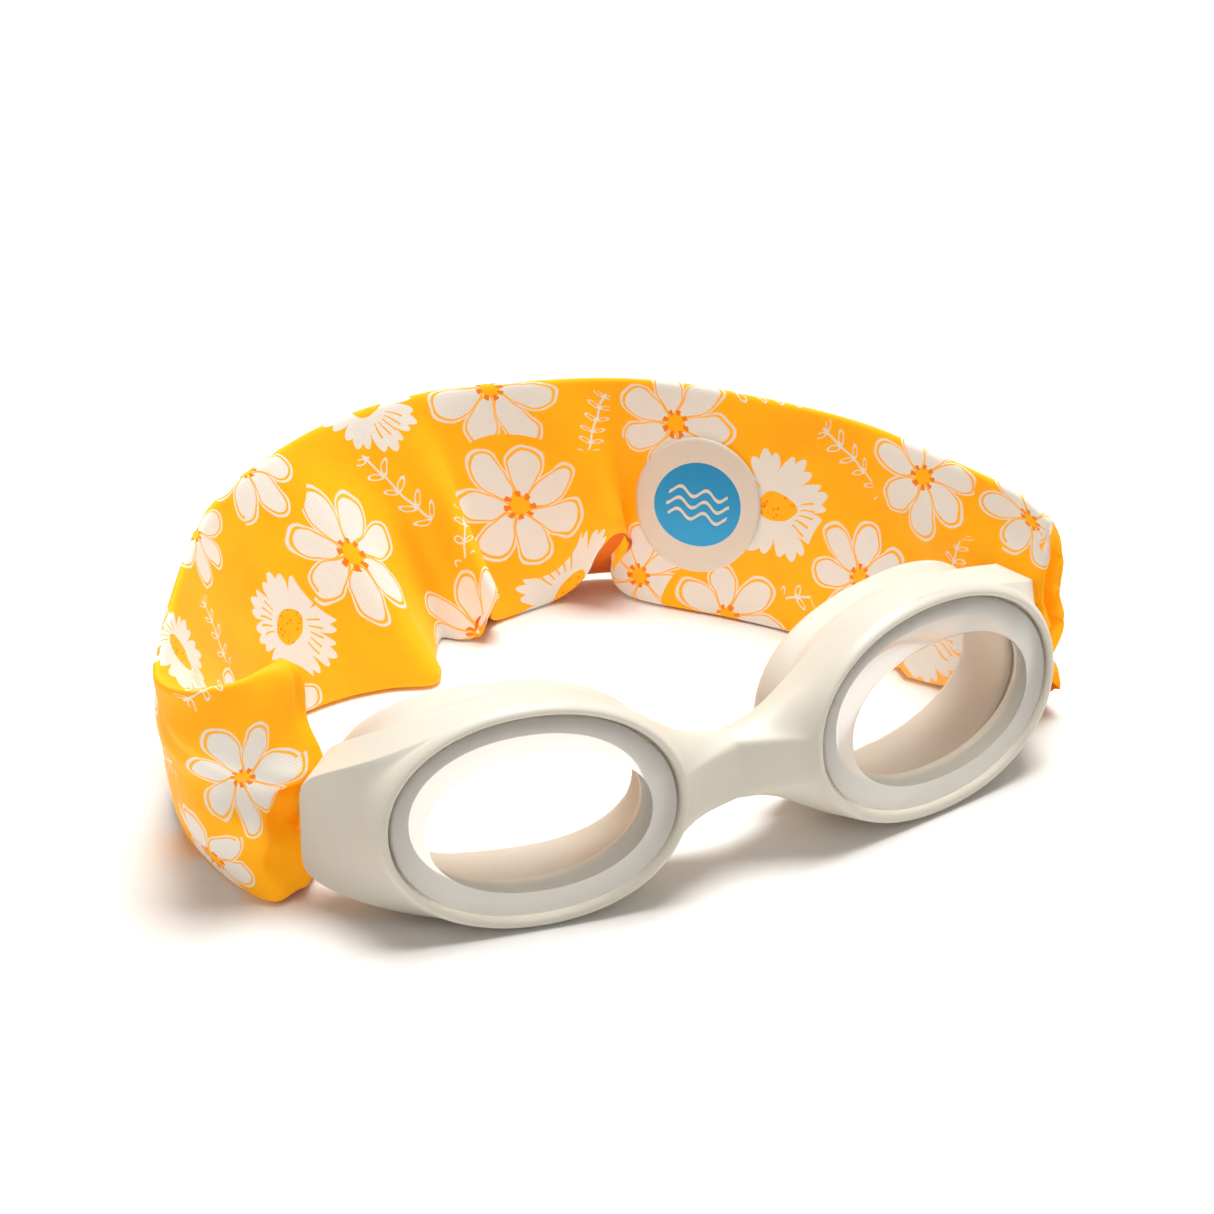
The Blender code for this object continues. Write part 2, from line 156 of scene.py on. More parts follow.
class Nodes:
    # short calls for building one material or one node group
    def __init__(self, tree):
        self.tree = tree

    def add(self, kind, **values):
        node = self.tree.nodes.new(kind)
        for key, value in values.items():
            setattr(node, key, value)
        return node

    def feed(self, socket, value):
        if isinstance(value, bpy.types.NodeSocket):
            self.tree.links.new(value, socket)
        elif value is not None:
            socket.default_value = value

    def math(self, operation, a, b=None, c=None):
        node = self.add("ShaderNodeMath", operation=operation)
        for socket, value in zip(node.inputs, (a, b, c)):
            self.feed(socket, value)
        return node.outputs[0]

    def norm(self, x, y):
        # length of the vector (x, y)
        return self.math("SQRT", self.math("ADD", self.math("MULTIPLY", x, x), self.math("MULTIPLY", y, y)))

    def scaled(self, vector, factor):
        node = self.add("ShaderNodeVectorMath", operation="SCALE")
        self.feed(node.inputs[0], vector)
        node.inputs["Scale"].default_value = factor
        return node.outputs[0]

    def clothPlace(self):
        # the piece's own cloth coordinates, in millimetres
        return self.scaled(self.add("ShaderNodeUVMap", uv_map="cloth").outputs[0], 100.0)

    def mix(self, factor, a, b, kind="RGBA"):
        node = self.add("ShaderNodeMix", data_type=kind)
        slot = {"FLOAT": 2, "VECTOR": 4, "RGBA": 6}[kind]
        self.feed(node.inputs[0], factor)
        self.feed(node.inputs[slot], a)
        self.feed(node.inputs[slot + 1], b)
        return node.outputs[{"FLOAT": 0, "VECTOR": 1, "RGBA": 2}[kind]]

    def noise(self, where, scale, detail=2.0, out="Fac"):
        node = self.add("ShaderNodeTexNoise")
        self.feed(node.inputs["Vector"], where)
        node.inputs["Scale"].default_value = scale
        node.inputs["Detail"].default_value = detail
        return node.outputs[out]

    def band(self, value, low, high):
        # 0 below low, 1 above high
        node = self.add("ShaderNodeMapRange", interpolation_type="SMOOTHSTEP")
        self.feed(node.inputs["Value"], value)
        node.inputs["From Min"].default_value = low
        node.inputs["From Max"].default_value = high
        return node.outputs["Result"]

    def split(self, vector):
        node = self.add("ShaderNodeSeparateXYZ")
        self.feed(node.inputs[0], vector)
        return node.outputs

    def join(self, x, y, z=0.0):
        node = self.add("ShaderNodeCombineXYZ")
        for socket, value in zip(node.inputs, (x, y, z)):
            self.feed(socket, value)
        return node.outputs[0]

    def bump(self, height, strength, distance):
        node = self.add("ShaderNodeBump")
        node.inputs["Strength"].default_value = strength
        node.inputs["Distance"].default_value = distance
        self.feed(node.inputs["Height"], height)
        return node.outputs["Normal"]


def newMaterial(name, **plain):
    material = bpy.data.materials.new(name)
    material.use_nodes = True
    shader = material.node_tree.nodes["Principled BSDF"]
    for key, value in plain.items():
        shader.inputs[key.replace("_", " ")].default_value = value
    return material, Nodes(material.node_tree), shader


def newGroup(name, inputs, outputs):
    tree = bpy.data.node_groups.new(name, "ShaderNodeTree")
    for socketName, kind, value in inputs:
        socket = tree.interface.new_socket(socketName, in_out="INPUT", socket_type=kind)
        if value is not None:
            socket.default_value = value
    for socketName, kind in outputs:
        tree.interface.new_socket(socketName, in_out="OUTPUT", socket_type=kind)
    nodes = Nodes(tree)
    return tree, nodes, nodes.add("NodeGroupInput").outputs, nodes.add("NodeGroupOutput").inputs


def useGroup(nodes, tree, **values):
    node = nodes.add("ShaderNodeGroup")
    node.node_tree = tree
    for key, value in values.items():
        nodes.feed(node.inputs[key], value)
    return node.outputs


def makeSkinGroup():
    # moulded surface: faint cloudy colour, a fine satin grain and a soft unevenness
    tree, n, given, made = newGroup(
        "mouldedSkin",
        [("Colour", "NodeSocketColor", (0.8, 0.8, 0.8, 1)), ("Tint", "NodeSocketColor", (0.7, 0.7, 0.7, 1)),
         ("Roughness", "NodeSocketFloat", 0.4), ("Grain", "NodeSocketFloat", 0.03)],
        [("Colour", "NodeSocketColor"), ("Roughness", "NodeSocketFloat"), ("Normal", "NodeSocketVector")])
    place = n.add("ShaderNodeTexCoord").outputs["Object"]
    cloud = n.noise(place, 70.0, 3.0)
    n.feed(made["Colour"], n.mix(n.band(cloud, 0.35, 0.75), given["Colour"], given["Tint"]))
    grain = n.noise(place, 4200.0, 2.0)
    uneven = n.math("SUBTRACT", grain, 0.5)
    n.feed(made["Roughness"], n.math("MULTIPLY_ADD", uneven, 0.12, given["Roughness"]))
    swell = n.math("MULTIPLY", n.noise(place, 260.0), 0.05)
    height = n.math("ADD", n.math("MULTIPLY", grain, given["Grain"]), swell)
    n.feed(made["Normal"], n.bump(height, 0.35, 0.0004))
    return tree


def makeKnitGroup():
    # fine warp knit: slanted rows of tiny loops on the cloth's own coordinates, in millimetres
    tree, n, given, made = newGroup(
        "fineKnit", [("Where", "NodeSocketVector", None), ("Pitch", "NodeSocketFloat", 0.45)],
        [("Height", "NodeSocketFloat"), ("Shade", "NodeSocketFloat")])
    x, y, _ = n.split(given["Where"])
    turn = n.math("DIVIDE", 2 * math.pi, given["Pitch"])
    slant = n.math("ADD", x, n.math("MULTIPLY", y, 0.35))
    rows = n.math("SINE", n.math("MULTIPLY", slant, turn))
    loops = n.math("SINE", n.math("MULTIPLY", n.math("SUBTRACT", y, n.math("MULTIPLY", x, 0.2)), turn))
    knit = n.math("MULTIPLY", n.math("ADD", rows, 1.0), n.math("ADD", loops, 1.0))
    n.feed(made["Height"], n.math("MULTIPLY", knit, 0.25))
    patchy = n.noise(given["Where"], 0.09, 3.0)
    fleck = n.noise(given["Where"], 3.1, 2.0)
    n.feed(made["Shade"], n.math("ADD", n.math("MULTIPLY", patchy, 0.7), n.math("MULTIPLY", fleck, 0.3)))
    return tree


skinGroup, knitGroup = makeSkinGroup(), makeKnitGroup()


def siliconeMaterial(name, colour, tint, roughness, subsurface, coat):
    material, n, shader = newMaterial(name, Coat_Weight=coat, Coat_Roughness=0.28, IOR=1.43,
                                      Subsurface_Weight=subsurface, Subsurface_Scale=0.0015)
    shader.inputs["Subsurface Radius"].default_value = (1.0, 0.85, 0.65)
    skin = useGroup(n, skinGroup, Colour=(*colour, 1), Tint=(*tint, 1), Roughness=roughness, Grain=0.04)
    n.feed(shader.inputs["Base Color"], skin["Colour"])
    n.feed(shader.inputs["Roughness"], skin["Roughness"])
    n.feed(shader.inputs["Normal"], skin["Normal"])
    return material


def clearMaterial(name, colour, tint, roughness, index, transmission=1.0):
    material, n, shader = newMaterial(name, Transmission_Weight=transmission, IOR=index, Metallic=0.0)
    skin = useGroup(n, skinGroup, Colour=(*colour, 1), Tint=(*tint, 1), Roughness=roughness, Grain=0.0)
    n.feed(shader.inputs["Base Color"], skin["Colour"])
    n.feed(shader.inputs["Roughness"], n.math("MAXIMUM", n.math("MULTIPLY", skin["Roughness"], 0.5), 0.02))
    # clear parts let most of the light through instead of casting a solid shadow
    shadow = n.add("ShaderNodeLightPath").outputs["Is Shadow Ray"]
    n.feed(shader.inputs["Alpha"], n.math("MULTIPLY_ADD", shadow, -0.9, 1.0))
    return material


cloth = {"yellow": (1.0, 0.44, 0.004), "deep": (1.0, 0.38, 0.002), "petal": (0.74, 0.69, 0.62),
         # the last colour is painted shade: a deep orange for the tube's underside, seen inside the folds
         "heart": (1.0, 0.42, 0.004), "dot": (0.80, 0.20, 0.004), "under": (0.85, 0.17, 0.002),
         # the last number sets a painted glow: the cloth emits its own colour as if light came through it
         "knitPitch": 0.5, "through": 0.26}
# each flower on the cloth: along the band, up from the inner lower edge, radius, turn in degrees and
# kind, which is 0 for an open daisy, 1 for a fringed daisy and 2 for a sprig
flowers = [
    (120, 27, 9, 115, 2), (126, 13, 8, 60, 2), (209, 35, 8, 150, 2), (192, 44, 9, 10, 2),
    (58, 26, 9, 80, 2), (160, 31, 8, 70, 2), (204, 8, 8, 20, 2), (30, 22, 9, 100, 2),
    (14, 42, 8, 40, 2), (232, 24, 7, 75, 2), (35, 68, 9, 30, 2), (88, 66, 8, 80, 2),
    (146, 70, 9, 15, 2), (203, 65, 8, 70, 2), (121, 43, 9, 30, 1), (196, 23, 10, 0, 1),
    (83, 16, 10, 15, 1), (146, 0, 10, 40, 1), (38, 37, 10, 70, 1), (227, 9, 9, 30, 1),
    (64, 62, 10, 50, 1), (160, 62, 10, 10, 1), (236, 58, 9, 80, 1), (143, 41, 12.5, 12, 0),
    (142, 19, 12.5, 40, 0), (102, 23, 12.5, 20, 0), (92, 43, 11, 50, 0), (70, 43, 11, 5, 0),
    (176, 34, 12, 30, 0), (214, 15, 11, 10, 0), (224, 37, 11, 45, 0), (174, 5, 10, 15, 0),
    (190, 0, 11, 25, 0), (245, 38, 10, 60, 0), (73, 2, 10, 35, 0), (122, 1, 10, 5, 0),
    (50, 12, 11, 25, 0), (16, 8, 11, 70, 0), (46, 55, 11, 30, 0), (12, 62, 11, 15, 0),
    (22, 81, 11, 50, 0), (49, 80, 11, 20, 0), (77, 81, 11, 45, 0), (107, 62, 12, 10, 0),
    (103, 84, 10, 35, 0), (129, 81, 11, 55, 0), (133, 61, 11, 20, 0), (158, 83, 11, 40, 0),
    (184, 62, 12, 5, 0), (182, 84, 10, 50, 0), (209, 81, 11, 25, 0), (216, 60, 11, 45, 0),
    (238, 78, 11, 15, 0),
]


def printedCloth():
    material, n, shader = newMaterial("printedSwimCloth", Sheen_Weight=0.06, Sheen_Roughness=0.4,
                                      Specular_IOR_Level=0.22)
    shader.inputs["Sheen Tint"].default_value = (1.0, 0.9, 0.6, 1)
    where = n.clothPlace()
    # the coordinates of the last listed flower whose circle covers the point, with its kind carried as z;
    # outside all of them x is 9
    local = n.join(9.0, 9.0, 0.0)
    for along, up, radius, turn, kind in flowers:
        mapping = n.add("ShaderNodeMapping", vector_type="TEXTURE")
        mapping.inputs["Location"].default_value = (along, up, -kind - along * 0.001)
        mapping.inputs["Rotation"].default_value = (0, 0, math.radians(turn))
        mapping.inputs["Scale"].default_value = (radius, 1.06 * radius, 1.0)
        n.feed(mapping.inputs["Vector"], where)
        own = mapping.outputs[0]
        x, y, _ = n.split(own)
        inside = n.math("LESS_THAN", n.math("ADD", n.math("MULTIPLY", x, x), n.math("MULTIPLY", y, y)), 1.1)
        local = n.mix(inside, local, own, "VECTOR")
    x, y, mark = n.split(local)
    kind = n.math("FLOOR", n.math("ADD", mark, 0.0001))
    seed = n.math("MULTIPLY", n.math("FRACT", mark), 41.0)
    # hand-drawn wobble
    driftX, driftY, _ = n.split(n.noise(where, 0.16, 1.0, out="Color"))
    x = n.math("ADD", x, n.math("MULTIPLY", n.math("SUBTRACT", driftX, 0.5), 0.22))
    y = n.math("ADD", y, n.math("MULTIPLY", n.math("SUBTRACT", driftY, 0.5), 0.22))
    radius = n.norm(x, y)
    angle = n.math("ARCTAN2", y, x)

    def petals(count, start, reach, slim, wide, shift):
        # each petal is a drop: narrow at the heart, round at the tip; the value is 1 on its outline
        share = n.math("ADD", n.math("MULTIPLY", angle, count / (2 * math.pi)), shift)
        number = n.math("FLOOR", share)
        swing = n.math("MULTIPLY", n.math("SUBTRACT", n.math("FRACT", share), 0.5), 2 * math.pi / count)
        px = n.math("MULTIPLY", radius, n.math("COSINE", swing))
        py = n.math("MULTIPLY", radius, n.math("SINE", swing))
        odd = n.math("SINE", n.math("ADD", n.math("MULTIPLY", number, 2.3), seed))
        length = n.math("MULTIPLY_ADD", odd, 0.045, reach)
        middle = n.math("ADD", n.math("MULTIPLY", length, 0.5), start / 2)
        half = n.math("SUBTRACT", n.math("MULTIPLY", length, 0.5), start / 2)
        ex = n.math("DIVIDE", n.math("SUBTRACT", px, middle), half)
        spread = n.math("MULTIPLY_ADD", ex, (wide - slim) / 2, (wide + slim) / 2)
        ey = n.math("DIVIDE", py, n.math("MAXIMUM", spread, 0.03))
        return n.norm(ex, ey)

    edge = 0.03
    daisy = petals(7.0, 0.06, 0.93, 0.13, 0.33, 0.0)
    fill = n.math("SUBTRACT", 1.0, n.band(daisy, 0.80 - edge, 0.80 + edge))
    outline = n.math("MULTIPLY", n.band(daisy, 0.905 - edge, 0.905 + edge),
                     n.math("SUBTRACT", 1.0, n.band(daisy, 1.0 - edge, 1.0 + edge)))
    daisyMask = n.math("MAXIMUM", fill, outline)
    daisyHeart = n.math("LESS_THAN", radius, 0.135)
    ring = n.math("ABSOLUTE", n.math("SUBTRACT", radius, 0.16))
    eighth = n.math("FRACT", n.math("MULTIPLY", angle, 8 / (2 * math.pi)))
    beads = n.math("ABSOLUTE", n.math("SUBTRACT", eighth, 0.5))
    daisyDots = n.math("MULTIPLY", n.math("LESS_THAN", ring, 0.042), n.math("GREATER_THAN", beads, 0.24))
    # fringed daisy: three-toothed petals round a wide dotted heart
    tooth = n.math("ABSOLUTE", n.math("SINE", n.math("MULTIPLY", angle, 12.0)))
    lobe = n.math("POWER", n.math("ABSOLUTE", n.math("SINE", n.math("MULTIPLY", angle, 4.0))), 0.5)
    rim = n.math("ADD", n.math("MULTIPLY_ADD", lobe, 0.28, 0.56), n.math("MULTIPLY", tooth, 0.15))
    fringe = n.math("LESS_THAN", radius, rim)
    strokes = n.math("GREATER_THAN", n.math("SINE", n.math("MULTIPLY", angle, 26.0)), 0.72)
    halfTurns = n.math("SINE", n.math("ADD", n.math("MULTIPLY", angle, 2.0), seed))
    someSides = n.math("GREATER_THAN", halfTurns, 0.35)
    midway = n.math("LESS_THAN", n.math("ABSOLUTE", n.math("SUBTRACT", radius, 0.55)), 0.13)
    hatch = n.math("MULTIPLY", n.math("MULTIPLY", strokes, someSides), midway)
    fringeMask = n.math("MULTIPLY", fringe, n.math("SUBTRACT", 1.0, hatch))
    squeezed = n.math("SQRT", n.math("ADD", n.math("MULTIPLY", n.math("MULTIPLY", x, x), 0.7),
                                     n.math("MULTIPLY", n.math("MULTIPLY", y, y), 1.5)))
    fringeHeart = n.math("LESS_THAN", squeezed, 0.31)
    speckle = n.add("ShaderNodeTexVoronoi", feature="F1")
    speckle.inputs["Scale"].default_value = 1.05
    n.feed(speckle.inputs["Vector"], where)
    fringeDots = n.math("MULTIPLY", n.math("LESS_THAN", speckle.outputs["Distance"], 0.27), fringeHeart)
    # sprig: one thin stem with open leaves on both sides
    thin = n.math("LESS_THAN", n.math("ABSOLUTE", y), 0.022)
    stem = n.math("MULTIPLY", thin, n.math("LESS_THAN", radius, 0.95))
    step = n.math("SUBTRACT", n.math("FRACT", n.math("MULTIPLY", x, 2.6)), 0.35)
    lx, ly = n.math("DIVIDE", step, 2.6), n.math("SUBTRACT", n.math("ABSOLUTE", y), 0.14)
    la = n.math("ADD", n.math("MULTIPLY", lx, 0.55), n.math("MULTIPLY", ly, 0.83))
    lb = n.math("SUBTRACT", n.math("MULTIPLY", ly, 0.55), n.math("MULTIPLY", lx, 0.83))
    leaf = n.norm(n.math("DIVIDE", la, 0.16), n.math("DIVIDE", lb, 0.06))
    nearLeaf = n.math("LESS_THAN", n.math("ABSOLUTE", n.math("SUBTRACT", leaf, 0.85)), 0.17)
    leafLine = n.math("MULTIPLY", nearLeaf, n.math("LESS_THAN", radius, 0.98))
    sprigMask = n.math("MAXIMUM", stem, leafLine)

    isFringed = n.math("COMPARE", kind, 1.0, 0.4)
    isSprig = n.math("COMPARE", kind, 2.0, 0.4)
    white = n.mix(isSprig, n.mix(isFringed, daisyMask, fringeMask, "FLOAT"), sprigMask, "FLOAT")
    notSprig = n.math("SUBTRACT", 1.0, isSprig)
    heart = n.math("MULTIPLY", n.mix(isFringed, daisyHeart, fringeHeart, "FLOAT"), notSprig)
    dots = n.math("MULTIPLY", n.mix(isFringed, daisyDots, fringeDots, "FLOAT"), notSprig)
    knit = useGroup(n, knitGroup, Where=where, Pitch=cloth["knitPitch"])
    ground = n.mix(n.band(knit["Shade"], 0.3, 0.75), (*cloth["yellow"], 1), (*cloth["deep"], 1))
    colour = n.mix(white, ground, (*cloth["petal"], 1))
    colour = n.mix(heart, colour, (*cloth["heart"], 1))
    colour = n.mix(dots, colour, (*cloth["dot"], 1))
    # painted shade: the tube's underside, below the inner layer's lower edge, gets a deep orange and no
    # glow, so the inside of the folds looks dark
    girth = n.split(where)[1]
    paintedShadeUnderside = n.math("LESS_THAN", girth, -0.7)
    n.feed(shader.inputs["Base Color"], n.mix(paintedShadeUnderside, colour, (*cloth["under"], 1)))
    # painted glow: the cloth emits its own colour, standing in for light that comes through the thin cloth
    n.feed(shader.inputs["Emission Color"], n.mix(paintedShadeUnderside, colour, (0, 0, 0, 1)))
    shader.inputs["Emission Strength"].default_value = cloth["through"]
    n.feed(shader.inputs["Roughness"], n.math("MULTIPLY_ADD", knit["Shade"], 0.12, 0.55))
    n.feed(shader.inputs["Normal"], n.bump(knit["Height"], 0.3, 0.00012))
    return material


def patchMaterial():
    # a round blue badge with two white wave lines on a warm white patch
    material, n, shader = newMaterial("roundPatch", Specular_IOR_Level=0.4)
    where = n.clothPlace()
    x, y, _ = n.split(where)
    radius = n.norm(x, y)
    disc = n.math("LESS_THAN", radius, 7.7)
    lines = None
    for level in (-2.1, 0.0, 2.1):
        swell = n.math("MULTIPLY", n.math("SINE", n.math("MULTIPLY", x, 1.35)), 0.75)
        gap = n.math("ABSOLUTE", n.math("SUBTRACT", n.math("SUBTRACT", y, level), swell))
        line = n.math("LESS_THAN", gap, 0.32)
        lines = line if lines is None else n.math("MAXIMUM", lines, line)
    lines = n.math("MULTIPLY", lines, n.math("LESS_THAN", radius, 5.6))
    blue = n.mix(n.band(y, -7.0, 7.0), (0.02, 0.42, 0.86, 1), (0.0, 0.31, 0.68, 1))
    grain = n.noise(where, 3.0, 2.0)
    paper = n.mix(grain, (0.86, 0.79, 0.70, 1), (0.80, 0.73, 0.64, 1))
    mask = n.math("MULTIPLY", disc, n.math("SUBTRACT", 1.0, lines))
    n.feed(shader.inputs["Base Color"], n.mix(mask, paper, blue))
    n.feed(shader.inputs["Roughness"], n.math("MULTIPLY_ADD", grain, 0.1, 0.45))
    n.feed(shader.inputs["Normal"], n.bump(grain, 0.15, 0.0001))
    return material


ivory = siliconeMaterial("ivorySilicone", (0.71, 0.67, 0.58), (0.68, 0.64, 0.55), 0.42, 0.2, 0.12)
# painted shade: the seal is the frame's silicone made a little darker and warmer, for the shade it sits in
# behind the frame
shadedSealSkin = siliconeMaterial("shadedSealSilicone", (0.70, 0.63, 0.54), (0.66, 0.59, 0.50), 0.5, 0.3, 0.05)
clearPlastic = clearMaterial("clearPlastic", (1.0, 0.995, 0.985), (0.99, 0.985, 0.97), 0.06, 1.33)
clearRubber = clearMaterial("clearRubber", (0.96, 0.93, 0.88), (0.94, 0.9, 0.84), 0.32, 1.42)
# painted light: a whitish half-clear copy of the clear plastic, for the bright look of the clear lens rim
paintedBrightRim = clearMaterial("paintedBrightRim", (0.90, 0.88, 0.85), (0.88, 0.86, 0.82), 0.25, 1.4, 0.45)
print("materials ready")

lens = {"spacing": 72.0, "height": 18.8, "half": (21.4, 14.7), "rim": 3.0, "bevel": (1.7, 1.5),
        "depth": 3.2, "wall": 1.8, "power": 2.1, "around": 160, "turn": math.radians(10.6),
        "lean": math.radians(8.9)}


def ovalRing(middle, half, back, turn, lean, power, angles):
    # |p/a|^n + |q/b|^n = 1, turned about the upright axis and leaned back
    c, s = np.cos(angles), np.sin(angles)
    p = half[0] * np.sign(c) * np.abs(c) ** (2.0 / power)
    q = half[1] * np.sign(s) * np.abs(s) ** (2.0 / power)
    x = middle[0] + p * math.cos(turn)
    y = middle[1] + back + p * math.sin(turn) + q * math.sin(lean)
    z = middle[2] + q * math.cos(lean)
    return np.stack([x, y, np.maximum(z, 0.0)], -1)


def lensRing(grow, back, angles, inset=0.0, drop=0.0):
    half = (lens["half"][0] + grow, lens["half"][1] + grow)
    middle = (lens["spacing"] / 2 - inset, 0.0, lens["height"] - drop)
    return ovalRing(middle, half, back, lens["turn"], lens["lean"], lens["power"], angles)


def bothSides(name, grid, material, faces):
    made = {}
    for side, sign in sides.items():
        piece = meshFrom(f"{side}_{name}", grid.reshape(-1, 3) * [sign, 1, 1], faces)
        turnOutwards(piece)
        piece.data.materials.append(material)
        made[side] = piece
    return made


def buildLenses():
    # a profile on oval rings: flat front, small step, sloping rim, side wall, back rim and inner face
    angles = np.linspace(0, 2 * math.pi, lens["around"], endpoint=False)
    spread, bevelBack = lens["bevel"]
    depth = lens["depth"]
    inner = spread - lens["wall"]
    flat = -lens["rim"]
    profile = [(flat - 0.2, 0.0), (flat, 0.04), (flat + 0.35, 0.4), (spread - 0.2, bevelBack - 0.25),
               (spread, bevelBack + 0.2), (spread, depth - 0.25), (spread - 0.25, depth),
               (inner + 0.2, depth), (inner, depth - 0.25), (inner - 0.4, bevelBack + 1.0),
               (inner - 1.4, bevelBack + 0.6)]
    rings = [lensRing(grow, back, angles) for grow, back in profile]
    shrink = (0.75, 0.5, 0.25, 0.002)
    front = lensRing(flat - 0.2, 0.0, angles)
    rear = rings[-1]
    rings = ([front.mean(0) + (front - front.mean(0)) * k for k in reversed(shrink)] + rings
             + [rear.mean(0) + (rear - rear.mean(0)) * k for k in shrink])
    grid = np.array(rings)
    rows, columns = grid.shape[:2]
    faces = gridFaces(rows, columns, False, True).tolist()
    faces += [list(range(columns)), list(range((rows - 1) * columns, rows * columns))]
    made = bothSides("lens_dish", grid, clearPlastic, faces)
    # the sloping rim and side wall get painted light: a whitish half-clear material that stands in for the
    # light seen in the clear rim
    paintedBrightFaces = range(columns * (len(shrink) + 1), columns * (len(shrink) + 5))
    for side, piece in made.items():
        piece.data.materials.append(paintedBrightRim)
        marks = np.zeros(len(piece.data.polygons), np.int32)
        marks[paintedBrightFaces.start:paintedBrightFaces.stop] = 1
        piece.data.polygons.foreach_set("material_index", marks)
        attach(piece, "frame_body")
        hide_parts(f"{side}_lens")


# the moulding's outer edge over one cup: front crease x, y, z and back edge x, y, z
moulding = {
    "top": [(66.4, 23.4, 22.4, 61.0, 25.6, 25.6), (63.6, 17.6, 26.4, 58.8, 21.4, 28.8),
            (58.3, 11.8, 30.2, 54.8, 17.0, 31.8), (50.5, 8.0, 34.0, 48.6, 13.6, 34.8),
            (42.5, 5.8, 36.5, 41.6, 11.8, 36.3), (34.0, 4.6, 37.3, 34.0, 11.0, 36.4),
            (25.5, 3.6, 35.8, 26.0, 10.2, 34.8), (18.0, 3.2, 32.0, 18.6, 9.6, 31.0),
            (11.8, 3.4, 27.2, 12.0, 9.2, 26.0), (5.5, 4.0, 23.9, 6.0, 8.8, 21.8),
            (-2.0, 4.4, 22.9, -2.0, 8.4, 20.4), (-12.0, 4.4, 22.9, -12.0, 8.4, 20.4)],
    "bottom": [(-12.0, 4.6, 10.3, -12.0, 8.4, 10.8), (-2.0, 4.6, 10.3, -2.0, 8.4, 10.8),
               (6.0, 3.8, 9.2, 6.0, 9.6, 8.8), (11.5, 3.0, 6.4, 12.0, 10.4, 6.0),
               (17.5, 2.4, 3.2, 18.4, 11.0, 3.0), (25.5, 2.4, 0.8, 26.0, 11.6, 0.9),
               (35.0, 3.2, 0.1, 35.0, 12.2, 0.3), (45.0, 5.0, 0.5, 44.0, 13.4, 0.7),
               (53.0, 8.4, 1.8, 51.6, 15.6, 2.0), (61.4, 15.0, 3.4, 58.0, 20.4, 3.6),
               (66.4, 23.4, 5.0, 61.0, 25.6, 5.0)],
    "samples": (110, 26, 110, 34), "steps": 5, "edge": 2.3, "dish": 1.4,
}


def buildFrame():
    # one cup: a closed profile is carried round the lens, from the seat over the lip and the outer edge
    # to the inner wall and the ledge behind the lens
    topCount, noseCount, bottomCount, templeCount = moulding["samples"]
    top = curveThrough(moulding["top"], topCount)
    bottom = curveThrough(moulding["bottom"], bottomCount)
    nose = top[-1] + (bottom[0] - top[-1]) * np.linspace(0, 1, noseCount + 2)[1:-1, None]
    temple = bottom[-1] + (top[0] - bottom[-1]) * np.linspace(0, 1, templeCount + 2)[1:-1, None]
    edge = np.vstack([top, nose, bottom, temple])
    rounded = smoothAlong(edge, 4.0, loop=True)
    soften = np.maximum(ease((edge[:, 0] - 30.0) / 20.0), 1 - ease((edge[:, 0] - 4.0) / 12.0))[:, None]
    edge = edge + (rounded - edge) * soften
    front, back = edge[:, :3], edge[:, 3:]
    high = (front[:, 2] - lens["height"]) / (lens["half"][1] + 4.7)
    wide = (front[:, 0] - lens["spacing"] / 2) / (lens["half"][0] + 6.2)
    angles = np.unwrap(np.arctan2(high, wide))
    inner = lensRing(0.9, 9.0, angles)
    lipFoot = lensRing(4.1, 2.3, angles)
    # the front sinks into a shallow dish beside the lip, deepest towards the temple
    towardsTemple = np.clip(np.cos(angles), 0, 1)[:, None] ** 2
    inward = unit(np.array([lens["spacing"] / 2, 0.0, lens["height"]]) - lipFoot) * [1, 0, 1]
    mid = lipFoot + (front - lipFoot) * 0.35 + inward * moulding["dish"] * towardsTemple
    shoulder = lipFoot + (front - lipFoot) * 0.75 + inward * 0.4 * towardsTemple
    backInner = back + unit(inner - back) * moulding["edge"]
    # the crease is crisp over the cups and melts away towards the bridge
    melt = (1 - ease((front[:, 0] - 6.0) / 16.0))[:, None]
    creaseIn = front + (shoulder - front) * 0.22 * melt + [0, 0.5, 0] * melt
    creaseOut = front + (back - front) * 0.3 * melt
    keys = np.array([
        lensRing(2.1, 3.9, angles), lensRing(2.1, 2.6, angles), lensRing(2.2, 1.3, angles),
        lensRing(2.7, 0.7, angles), lensRing(3.5, 0.8, angles), lipFoot,
        mid, shoulder, creaseIn, creaseOut, front + (back - front) * 0.45, front + (back - front) * 0.8,
        back, back, backInner, backInner + (inner - backInner) * 0.5, inner,
        lensRing(-1.2, 7.4, angles), lensRing(-2.7, 5.6, angles), lensRing(-2.9, 4.6, angles),
        lensRing(-2.5, 3.8, angles)])
    grid = roundedLoop(keys, moulding["steps"])
    grid[..., 2] = np.maximum(grid[..., 2], 0.0)
    rows, columns = grid.shape[:2]
    piece = meshFrom("goggle_moulding", grid.reshape(-1, 3), gridFaces(rows, columns, True, True))
    cutAtMiddle(piece)
    piece.data.materials.append(ivory)
    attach(piece, "frame_body")
    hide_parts("goggle_frame")


